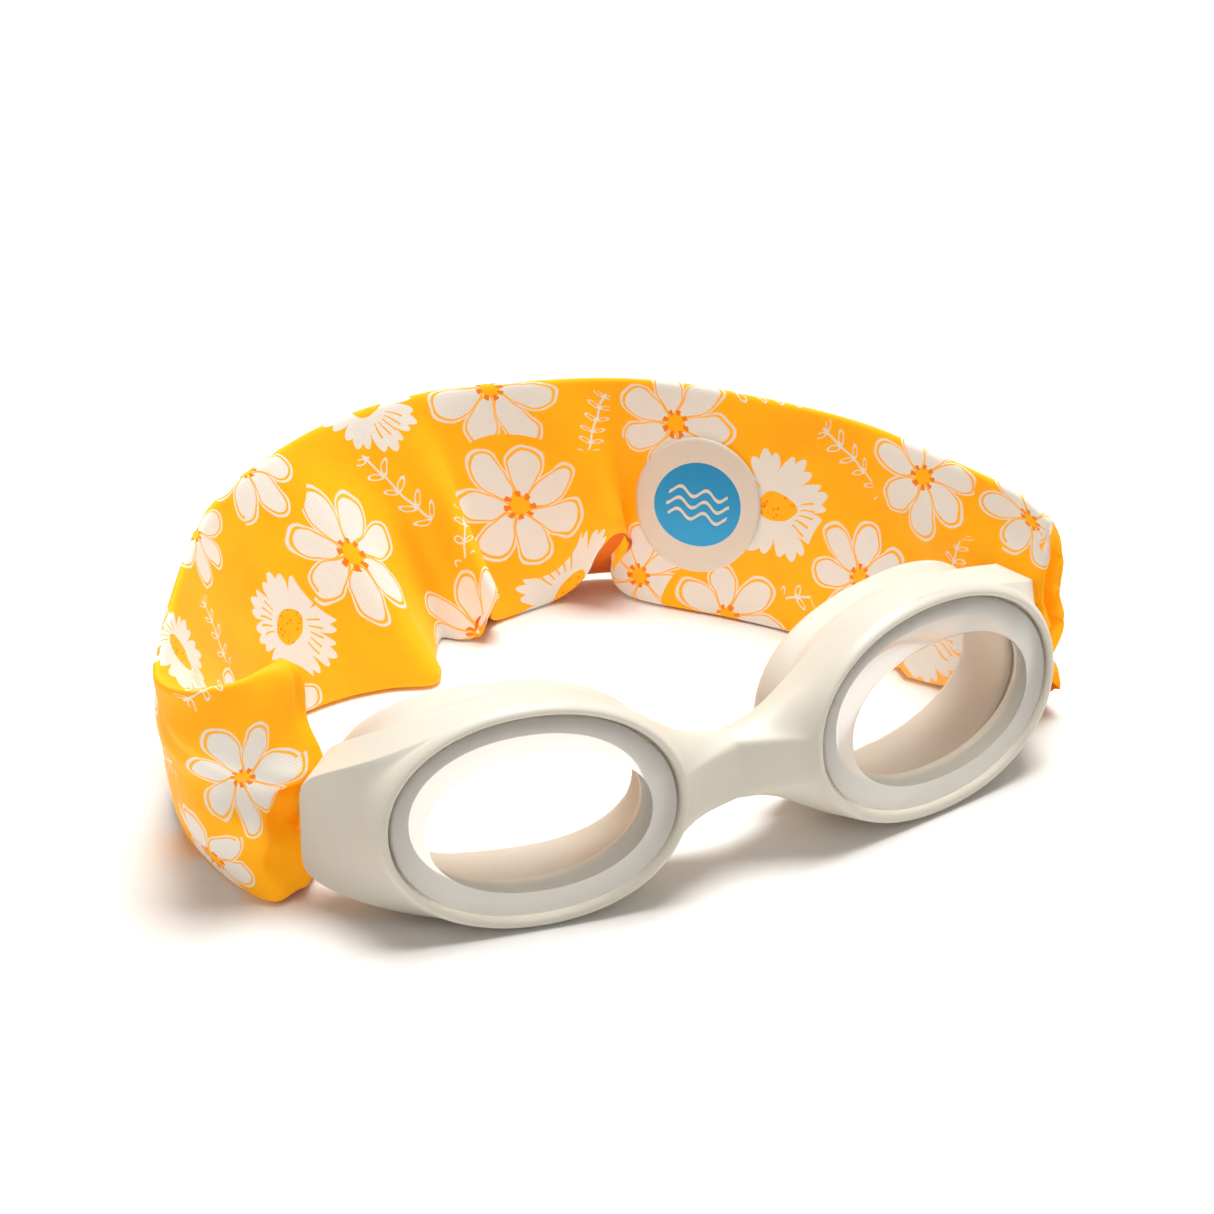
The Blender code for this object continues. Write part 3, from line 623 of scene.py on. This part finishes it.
def cutAtMiddle(piece):
    # keep the left half, mirror it and weld the two along the middle
    shape = bmesh.new()
    shape.from_mesh(piece.data)
    plane = Vector((originX, 0, 0))
    everything = shape.verts[:] + shape.edges[:] + shape.faces[:]
    bmesh.ops.bisect_plane(shape, geom=everything, dist=1e-7, plane_co=plane, plane_no=(1, 0, 0),
                           clear_inner=True)
    copy = bmesh.ops.duplicate(shape, geom=shape.verts[:] + shape.edges[:] + shape.faces[:])["geom"]
    copied = [g for g in copy if isinstance(g, bmesh.types.BMVert)]
    for vertex in copied:
        vertex.co.x = 2 * originX - vertex.co.x
    bmesh.ops.remove_doubles(shape, verts=shape.verts, dist=3e-6)
    bmesh.ops.recalc_face_normals(shape, faces=shape.faces)
    shape.to_mesh(piece.data)
    shape.free()
    piece.data.shade_smooth()


seal = {"rimMiddle": (34.2, 21.8, 15.7), "rimHalf": (25.6, 16.0), "turn": math.radians(16.0),
        "lean": math.radians(5.0), "rootGrow": (2.0, 2.4), "inset": 1.5, "drop": 1.6, "wall": 1.5}


def buildSeals():
    # a soft skirt: the profile leaves the cup's back edge, spreads and rolls inwards at the face
    angles = np.linspace(0, 2 * math.pi, 150, endpoint=False)

    def root(by, back):
        half = (lens["half"][0] + seal["rootGrow"][0] + by, lens["half"][1] + seal["rootGrow"][1] + by)
        middle = (lens["spacing"] / 2 - seal["inset"], 0.0, lens["height"] - seal["drop"])
        return ovalRing(middle, half, back, lens["turn"], lens["lean"], lens["power"], angles)

    def rim(by, back):
        half = (seal["rimHalf"][0] + by, seal["rimHalf"][1] + by)
        return ovalRing(seal["rimMiddle"], half, back, seal["turn"], seal["lean"], 2.4, angles)

    wall = seal["wall"]
    keys = np.array([root(0.0, 9.8), root(0.1, 11.6), root(0.0, 13.4), rim(-0.9, -5.5), rim(-0.2, -2.4),
                     rim(0.1, -0.8), rim(-0.5, 0.1), rim(-1.8, 0.1), rim(-3.0, -0.8), rim(-2.4, -2.0),
                     rim(-0.9 - wall, -5.2), root(-wall, 13.2), root(-wall, 9.8)])
    grid = roundedLoop(keys, 4)
    rows, columns = grid.shape[:2]
    made = bothSides("seal_skirt", grid, shadedSealSkin, gridFaces(rows, columns, True, True))
    for side, piece in made.items():
        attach(piece, "frame_body")
        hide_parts(f"{side}_face_seal")


buildLenses()
buildFrame()
buildSeals()
print("frame, lenses and seals built")

clip = {"x": 61.7, "front": clipFront, "bar": 30.6, "low": 4.4, "high": 21.0, "radius": 0.95}
tab = {"slant": math.radians(27.0), "z": 12.7, "half": 4.0, "thick": 1.0, "gap": 0.3, "legEnd": 13.0,
       "innerRun": 12.0, "tail": (13.0, 19.0), "ribPitch": 1.5, "ribHeight": 0.35}


def sweptTube(path, radius, around=12, closed=False):
    # a round section carried along a path in planes square to it
    path = np.asarray(path, float)
    ahead = unit((np.roll(path, -1, 0) - np.roll(path, 1, 0)) if closed else np.gradient(path, axis=0))
    across = unit(np.cross(ahead, [1.0, 0.013, 0.007]))
    other = np.cross(ahead, across)
    a = np.linspace(0, 2 * math.pi, around, endpoint=False)
    ring = across[:, None] * np.cos(a)[None, :, None] + other[:, None] * np.sin(a)[None, :, None]
    return path[:, None] + ring * radius


def tubeFaces(rows, columns, closed, offset):
    faces = gridFaces(rows, columns, closed, True, offset).tolist()
    if not closed:
        faces += [list(range(offset, offset + columns)),
                  list(range(offset + (rows - 1) * columns, offset + rows * columns))]
    return faces


def buildClips():
    # a rounded loop standing fore and aft, its rear limb the bar, with fine teeth on the front limb
    points, faces = [], []

    def put(grid, closed):
        faces.extend(tubeFaces(*grid.shape[:2], closed, sum(len(p) for p in points)))
        points.append(grid.reshape(-1, 3))

    corner = 1.6
    y0, y1, z0, z1 = clip["front"] + 0.9, clip["bar"], clip["low"] + 0.95, clip["high"] - 0.95
    arcs = [(y1 - corner, z1 - corner, 0), (y0 + corner, z1 - corner, 90), (y0 + corner, z0 + corner, 180),
            (y1 - corner, z0 + corner, 270)]
    loop = []
    for y, z, start in arcs:
        a = np.radians(start + np.linspace(0, 90, 9))
        loop.append(np.stack([np.full(9, clip["x"]), y + corner * np.cos(a), z + corner * np.sin(a)], 1))
    put(sweptTube(np.vstack(loop), clip["radius"], closed=True), True)
    for z in np.arange(z0 + 2.0, z1 - 1.5, 1.7):
        tooth = np.array([[clip["x"] - 1.0, y0, z], [clip["x"], y0 + 1.5, z], [clip["x"] + 1.0, y0, z]])
        put(sweptTube(curveThrough(tooth, 9), 0.42, 8), False)
    grid = np.vstack(points)
    made = bothSides("clear_clip", grid, clearPlastic, faces)
    for side, piece in made.items():
        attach(piece, "frame_body")
        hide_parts(f"{side}_clip")


def tabPlan(side, back, out):
    # back runs along the slanted strip, out runs away from the head
    sign = sides[side]
    s, c = math.sin(tab["slant"]), math.cos(tab["slant"])
    return np.stack([sign * clip["x"] - s * back + sign * c * out,
                     clip["bar"] + c * back + s * sign * out], -1)


def ribbedStrip(name, plan, outward, material):
    # a flat strip: the plan line carried between two heights, with cross ribs on its outer face
    along = np.concatenate([[0], np.cumsum(np.linalg.norm(np.diff(plan, axis=0), axis=1))])
    rib = tab["ribHeight"] * np.clip(np.sin(2 * math.pi * along / tab["ribPitch"]), 0, 1)
    half, thick = tab["half"], tab["thick"]
    section = [(-1.0, 0.0), (-0.9, 0.5), (0.9, 0.5), (1.0, 0.0), (0.9, -0.5), (-0.9, -0.5)]
    grid = np.zeros((len(plan), len(section), 3))
    for k, (up, over) in enumerate(section):
        shift = over * thick + (rib if over > 0 else 0.0)
        grid[:, k, :2] = plan + outward * np.asarray(shift).reshape(-1, 1)
        grid[:, k, 2] = tab["z"] + up * half
    piece = meshFrom(name, grid.reshape(-1, 3), tubeFaces(*grid.shape[:2], False, 0))
    turnOutwards(piece)
    piece.data.materials.append(material)
    return piece


def buildTabs():
    near = 1.0 + tab["gap"] + tab["thick"] / 2
    turn = np.linspace(math.pi / 2, 3 * math.pi / 2, 28)
    outerRun = np.linspace(tab["legEnd"], 0, 60)[:-1]
    innerRun = np.linspace(0, tab["innerRun"], 50)[1:]
    back = np.concatenate([outerRun, near * np.cos(turn), innerRun])
    out = np.concatenate([np.full(59, near), near * np.sin(turn), np.full(49, -near)])
    for side in sides:
        plan = tabPlan(side, back, out)
        heading = unit(np.gradient(plan, axis=0))
        outward = np.stack([heading[:, 1], -heading[:, 0]], 1)
        if side == "right":
            outward = -outward
        strip = ribbedStrip(f"{side}_ribbed_strip", plan, -outward, clearRubber)
        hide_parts(f"{side}_tab_loop", f"{side}_strap_leg")
        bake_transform(strip)
        tailBack = np.linspace(*tab["tail"], 40)
        tailPlan = tabPlan(side, tailBack, np.full(40, -near - tab["gap"] - tab["thick"]))
        tail = ribbedStrip(f"{side}_strip_tail", tailPlan, outward[-1] * np.ones((40, 1)), clearRubber)
        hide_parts(f"{side}_tab_tail")
        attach(tail, f"{side}_tail")


buildClips()
buildTabs()
print("clips and strips built")

band = {
    # upper edge from the right clip round the head to the left clip
    "rim": [
        (-64.3, 33.5, 38.6), (-73.0, 28.6, 39.4), (-82.0, 29.0, 40.0), (-84.6, 34.0, 40.3),
        (-80.6, 42.0, 40.6), (-75.2, 51.0, 40.6), (-69.0, 60.8, 40.6), (-62.6, 70.2, 40.6),
        (-54.8, 79.6, 40.6), (-44.0, 87.8, 40.6), (-31.0, 94.5, 40.6), (-21.0, 97.5, 40.6),
        (-11.0, 98.3, 40.6), (-2.0, 97.5, 40.6), (9.0, 94.0, 40.6), (20.0, 89.5, 40.6),
        (28.0, 84.5, 40.6), (35.0, 78.0, 40.6), (41.5, 70.0, 40.6), (48.0, 61.0, 40.6),
        (53.0, 52.0, 40.6), (56.5, 42.0, 40.6), (60.0, 32.0, 40.4), (63.8, 24.0, 39.2),
        (66.5, 18.8, 36.5),
    ],
    # lower edge of the outer layer: place along the band, x, y, z
    "outerHem": [
        (0, -66.5, 24.6, 1.2), (6, -71.0, 24.2, 0.3), (16, -74.0, 30.0, 0.3), (26, -75.0, 39.0, 0.3),
        (38, -75.0, 49.0, 0.3), (52, -71.5, 62.0, 0.3), (64, -65.0, 72.0, 0.3), (78, -54.5, 81.0, 0.3),
        (92, -41.0, 87.5, 0.3), (107, -27.0, 91.5, 0.3), (122, -12.0, 93.5, 0.3), (136, 2.0, 94.5, 0.3),
        (149, 14.5, 94.5, 0.3), (160, 26.0, 90.5, 0.3), (171, 34.0, 80.5, 0.3), (182, 39.5, 70.5, 0.3),
        (194, 46.0, 60.0, 0.3), (206, 53.6, 51.0, 0.3), (217, 61.0, 41.5, 0.3), (228, 66.0, 31.5, 0.6),
        (238, 68.6, 23.0, 2.0), (248, 68.8, 17.5, 4.0),
    ],
    # lower edge of the inner layer, which wanders in standing folds
    "innerHem": [
        (0, -61.0, 32.0, 1.0), (10, -57.5, 37.0, 0.4), (20, -55.5, 43.0, 0.3), (32, -56.5, 51.0, 0.3),
        (44, -57.0, 59.5, 0.3), (56, -54.0, 66.8, 0.3), (67, -49.0, 71.5, 0.3), (77, -42.5, 74.3, 0.3),
        (87, -33.5, 75.5, 0.3), (95, -25.5, 74.5, 0.3), (102, -19.0, 72.0, 0.3), (106, -16.2, 74.0, 0.5),
        (110, -15.2, 78.5, 0.8), (116, -10.8, 85.8, 0.3), (119.5, -7.8, 83.6, 0.3), (122, -5.0, 82.2, 0.8),
        (124.5, -4.4, 80.8, 4.8), (127, -3.2, 80.2, 8.4), (129.5, -1.6, 82.2, 7.8), (131.5, -2.0, 84.8, 2.8),
        (133.5, 0.0, 86.3, 0.5), (138, 6.0, 87.2, 0.3), (144, 12.5, 87.6, 0.8), (149, 16.2, 85.2, 5.2),
        (153, 17.2, 82.2, 12.0), (158, 19.2, 80.3, 16.8), (162, 22.4, 82.3, 14.6), (166, 22.4, 86.2, 7.2),
        (169, 21.7, 87.6, 2.6), (172, 22.6, 84.6, 0.5), (176, 25.0, 80.6, 0.3), (182, 29.5, 75.6, 0.3),
        (190, 35.0, 69.4, 0.3), (201, 41.8, 60.0, 0.3), (212, 45.6, 50.0, 0.3), (222, 49.6, 40.5, 0.3),
        (232, 55.4, 31.5, 0.8), (240, 61.4, 24.4, 3.0), (248, 65.6, 18.4, 5.5),
    ],
    "length": 248.0, "height": 41.0, "fold": 4.0, "lower": 5.0, "cloth": 0.6, "foldSpan": 14.0, "puff": 2.2,
    "rows": 330, "wallColumns": 40, "rimColumns": 4, "underColumns": 12, "capRows": 12, "capPitch": 1.2,
    "mouth": {"x": 64.3, "y": 31.0, "halfWide": 1.1, "halfTall": 4.4},
}


def alongBand(table, samples):
    # rows of place, x, y, z read at evenly spaced places
    fine = curveThrough(table, 40 * len(table))
    return np.stack([np.interp(samples, fine[:, 0], fine[:, k]) for k in (1, 2, 3)], 1)


def bandWalls():
    rows = band["rows"]
    place = np.linspace(0, band["length"], rows)
    fine = curveThrough(band["rim"], 4000)
    steps = np.concatenate([[0], np.cumsum(np.linalg.norm(np.diff(fine, axis=0), axis=1))])
    rim = np.stack([np.interp(place / band["length"] * steps[-1], steps, fine[:, k]) for k in range(3)], 1)
    outerHem = alongBand(band["outerHem"], place)
    innerHem = alongBand(band["innerHem"], place)
    return place, rim, outerHem, innerHem


def rightTuck(s, h):
    # at the right clip the outer layer is tucked into one long crease that rises with the square of the
    # distance s from the clip, with two dimples below it and a roll above; h is the height up the cloth
    fade = np.exp(-s / 15.0)
    off = h - 20.0 - 0.02 * s ** 2
    shoulders = 3.0 * fade * np.exp(-(off / 3.5) ** 2) * np.sign(off) * (1 - np.exp(-(off / 0.8) ** 2))
    crease = 5.0 * fade * np.exp(-(off / 1.5) ** 2)
    deepDimple = 3.6 * np.exp(-((s - 3.0) / 4.5) ** 2 - ((h - 7.0) / 3.2) ** 2)
    softDimple = 1.6 * np.exp(-((s - 13.0) / 5.0) ** 2 - ((h - 11.0) / 3.5) ** 2)
    roll = 2.2 * np.exp(-((s - 1.5) / 3.0) ** 2) * ease((h - 22.0) / 8.0)
    return shoulders - crease - deepDimple - softDimple + roll


def buildBandGrid():
    # each section runs up the outer layer, over the rim, down the inner layer and back under to the start
    place, rim, outerHem, innerHem = bandWalls()
    perRow = band["length"] / (band["rows"] - 1)
    heading = unit(np.gradient(rim[:, :2], axis=0))
    outward = np.stack([-heading[:, 1], heading[:, 0], np.zeros(len(rim))], 1)
    smoothHem = smoothAlong(innerHem, band["foldSpan"] / perRow)
    nearEnd = np.minimum(place, band["length"] - place)
    keepEnds = 1 - ease(nearEnd / 20.0)[:, None]
    smoothHem = smoothHem + (innerHem - smoothHem) * keepEnds
    fold = innerHem - smoothHem
    up = np.linspace(0, 1, band["wallColumns"])[None, :, None]
    outer = outerHem[:, None] + (rim[:, None] + 0.7 * outward[:, None] - outerHem[:, None]) * up
    inner = smoothHem[:, None] + (rim[:, None] - 0.7 * outward[:, None] - smoothHem[:, None]) * up
    inner = inner + fold[:, None] * (1 - up) ** 1.25
    belly = np.sin(math.pi * up)
    outer = outer + outward[:, None] * belly * band["puff"]
    inner = inner - outward[:, None] * belly * 0.5
    # slow waves in the cloth and tighter creases near both gathers
    s = place[:, None, None]
    h = up * band["height"]
    close = np.exp(-nearEnd / 26.0)[:, None, None]
    wave = 1.1 * np.sin(s / 9.5 + h / 17.0 + 0.6) * np.sin(s / 23.0 + 1.0) * (0.35 + 0.65 * up)
    crease = 1.5 * close * np.sin(h / 3.1 + s / 6.0 + 1.2 * np.sin(s / 11.0))
    outer = outer + outward[:, None] * (wave + crease) * belly ** 0.5
    inner = inner + outward[:, None] * (0.55 * wave + 0.7 * crease) * belly ** 0.5
    outer = outer + outward[:, None] * rightTuck(s, h)
    # behind it the inner layer bulges over the strip
    inner = inner - outward[:, None] * 6.0 * np.exp(-((s - 20.0) / 12.0) ** 2 - ((h - 19.0) / 13.0) ** 2)
    # the strip draws a valley into both layers, rising away from the clip
    centre = tab["z"] + 0.42 * nearEnd[:, None, None]
    valley = 5.0 * np.exp(-nearEnd / 15.0)[:, None, None]
    outer = outer - outward[:, None] * valley * np.exp(-((outer[..., 2:] - centre) / 3.2) ** 2)
    inner = inner + outward[:, None] * 0.5 * valley * np.exp(-((inner[..., 2:] - centre) / 3.2) ** 2)
    over = np.linspace(0, 1, band["rimColumns"] + 2)[None, 1:-1, None]
    crown = np.array([0, 0, 0.5]) * np.sin(math.pi * over)
    top = outer[:, -1:] + (inner[:, -1:] - outer[:, -1:]) * over + crown
    under = np.linspace(0, 1, band["underColumns"] + 2)[None, 1:-1, None]
    bottom = inner[:, :1] + (outer[:, :1] - inner[:, :1]) * under
    ring = np.concatenate([outer, top, inner[:, ::-1], bottom], axis=1)
    ring = smoothAlong(ring, 1.0, axis=1, loop=True)
    return place, ring


def endCap(ring, side, swell):
    # the end is drawn in to the strip: each ring shrinks towards it while pleats gather round the mouth
    sign = sides[side]
    around = ring.shape[0]
    a = np.linspace(0, 2 * math.pi, around, endpoint=False)
    place = band["mouth"]
    mouth = np.stack([sign * (place["x"] + place["halfWide"] * np.cos(a + math.pi)),
                      place["y"] + place["halfWide"] * np.sin(a),
                      tab["z"] + place["halfTall"] * np.sin(a - math.pi / 2)], 1)
    middle = ring.mean(0)
    share = np.linspace(0, 1, band["capRows"] + 1)[1:, None, None]
    caps = ring[None] + (mouth[None] - ring[None]) * ease(share)
    pleat = np.sin(9 * a + 0.8 * np.sin(2 * a))[None, :, None]
    out = unit(ring - middle)[None]
    caps = caps + out * pleat * 0.9 * np.sin(math.pi * share) + swell * np.sin(math.pi * share ** 0.7)
    return caps


def buildBand():
    place, ring = buildBandGrid()
    first = endCap(ring[0], "right", np.array([2.0, -0.6, 0.0]))
    last = endCap(ring[-1], "left", np.array([0.6, -2.4, 0.0]))
    grid = np.concatenate([first[::-1], ring, last])
    rows, columns = grid.shape[:2]
    # cloth coordinates: along the band in millimetres, and round the tube from the inner lower edge up
    beyond = np.arange(1, band["capRows"] + 1) * band["capPitch"]
    along = np.concatenate([place[0] - beyond[::-1], place, place[-1] + beyond])
    wall = np.linspace(0, band["height"], band["wallColumns"])
    over = band["height"] + np.linspace(band["fold"], 0, band["rimColumns"] + 2)[1:-1]
    under = np.linspace(0, -band["lower"], band["underColumns"] + 2)[1:-1]
    girth = np.concatenate([2 * band["height"] + band["fold"] - wall, over, wall[::-1], under])
    uv = np.stack(np.broadcast_arrays(along[:, None], girth[None, :]), -1).reshape(-1, 2) / 100.0
    piece = meshFrom("gathered_band", grid.reshape(-1, 3), gridFaces(rows, columns, False, True), uv=uv)
    solid = piece.modifiers.new("cloth", "SOLIDIFY")
    solid.thickness = band["cloth"] * mm
    solid.offset = -1.0
    piece.data.materials.append(printedCloth())
    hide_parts("fabric_band", "left_gather", "right_gather")
    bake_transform(piece)
    return ring


bandRing = buildBand()
print("band built")

patch = {"along": 182.3, "up": 20.3, "radius": 12.0, "stretch": (0.91, 1.04), "lift": 0.35, "thick": 0.35}


def buildPatch():
    # a disc laid on the inner layer: polar coordinates read the band's own surface
    wall = band["wallColumns"]
    start = wall + band["rimColumns"]
    inner = bandRing[:, start:start + wall][:, ::-1]
    radii = np.linspace(0.004, 1, 22)[:, None]
    a = np.linspace(0, 2 * math.pi, 90, endpoint=False)[None, :]
    reach = patch["radius"] * radii * (1 + 0.025 * np.cos(2 * a + 0.9) + 0.015 * np.sin(3 * a))
    x, y = reach * np.cos(a) * patch["stretch"][0], reach * np.sin(a) * patch["stretch"][1]
    r = (patch["along"] + x) / band["length"] * (band["rows"] - 1)
    c = (patch["up"] + y) / band["height"] * (wall - 1)
    i, j = np.clip(r.astype(int), 0, band["rows"] - 2), np.clip(c.astype(int), 0, wall - 2)
    fr, fc = (r - i)[..., None], (c - j)[..., None]
    spot = ((1 - fr) * (1 - fc) * inner[i, j] + fr * (1 - fc) * inner[i + 1, j]
            + (1 - fr) * fc * inner[i, j + 1] + fr * fc * inner[i + 1, j + 1])
    normal = surfaceNormals(spot)
    facing = np.array([-0.6, -0.7, 0.1])        # roughly towards the inside of the loop
    normal = normal * np.sign((normal * facing).sum(-1, keepdims=True))
    spot = spot + normal * patch["lift"]
    rows, columns = spot.shape[:2]
    faces = gridFaces(rows, columns, False, True).tolist() + [list(range(columns))]
    uv = np.stack([x, y], -1).reshape(-1, 2) / 100.0
    piece = meshFrom("round_patch", spot.reshape(-1, 3), faces, uv=uv)
    solid = piece.modifiers.new("cloth", "SOLIDIFY")
    solid.thickness = patch["thick"] * mm
    solid.offset = 0.0
    piece.data.materials.append(patchMaterial())
    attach(piece, "band")
    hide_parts("round_label")


buildPatch()


def stitchMaterial():
    # fine slanted turns of twisted thread
    material, n, shader = newMaterial("stitchThread", Roughness=0.6)
    twist = n.add("ShaderNodeTexWave", bands_direction="Z")
    n.feed(twist.inputs["Vector"], n.add("ShaderNodeTexCoord").outputs["Object"])
    twist.inputs["Scale"].default_value = 900.0
    shade = n.mix(twist.outputs["Fac"], (1.0, 0.45, 0.02, 1), (0.9, 0.62, 0.2, 1))
    n.feed(shader.inputs["Base Color"], shade)
    n.feed(shader.inputs["Normal"], n.bump(twist.outputs["Fac"], 0.4, 0.0002))
    return material


stitching = stitchMaterial()
for side in sides:
    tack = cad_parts[f"{side}_bar_tack"]
    tack.data.materials.clear()
    tack.data.materials.append(stitching)
print("patch and stitches built")

stage = {"floor": 2.4, "key": 28.0, "keySize": 0.8, "fill": 0.3, "world": 0.28}


def buildStage():
    corners = np.array([[-1, -1, 0], [1, -1, 0], [1, 1, 0], [-1, 1, 0]]) * stage["floor"] / mm / 2
    floor = meshFrom("floor", corners, [(0, 1, 2, 3)])
    material, n, shader = newMaterial("paleFloor", Roughness=0.75, Specular_IOR_Level=0.2)
    place = n.add("ShaderNodeTexCoord").outputs["Object"]
    paper = n.mix(n.noise(place, 6.0), (0.93, 0.92, 0.905, 1), (0.92, 0.91, 0.895, 1))
    n.feed(shader.inputs["Base Color"], paper)
    floor.data.materials.append(material)
    world = bpy.data.worlds.new("studio")
    world.use_nodes = True
    world.node_tree.nodes["Background"].inputs["Color"].default_value = (1.0, 0.985, 0.965, 1)
    world.node_tree.nodes["Background"].inputs["Strength"].default_value = stage["world"]
    bpy.context.scene.world = world


def addLight(name, place, aim, size, power, colour):
    data = bpy.data.lights.new(name, "AREA")
    data.size = size
    data.energy = power
    data.color = colour
    lamp = bpy.data.objects.new(name, data)
    lamp.location = place
    lamp.rotation_mode = "QUATERNION"
    lamp.rotation_quaternion = (Vector(aim) - Vector(place)).to_track_quat("-Z", "Y")
    bpy.context.scene.collection.objects.link(lamp)


buildStage()
addLight("overheadSoftbox", (0.2, 0.22, 1.35), (0, 0, 0), stage["keySize"], stage["key"],
         (1.0, 0.985, 0.96))
addLight("sideFill", (-1.1, -0.5, 0.8), (0, 0, 0.02), 0.9, stage["fill"], (1.0, 0.99, 0.98))

view = {"place": (-388.4, -706.5, 514.0), "aim": (-4.16, 38.31, 29.1), "lens": 177.9, "roll": -0.48}
cameraData = bpy.data.cameras.new("camera")
cameraData.lens = view["lens"]
cameraData.sensor_width = 36.0
cameraData.clip_start = 0.05
camera = bpy.data.objects.new("camera", cameraData)
camera.rotation_mode = "QUATERNION"
camera.location = worldPoint(*view["place"])
sight = Vector(worldPoint(*view["aim"])) - camera.location
roll = Matrix.Rotation(math.radians(view["roll"]), 3, "Z")
camera.rotation_quaternion = (sight.to_track_quat("-Z", "Y").to_matrix() @ roll).to_quaternion()
bpy.context.scene.collection.objects.link(camera)
bpy.context.scene.camera = camera
bpy.context.scene.view_settings.view_transform = "Standard"
print("stage, lights and camera set")
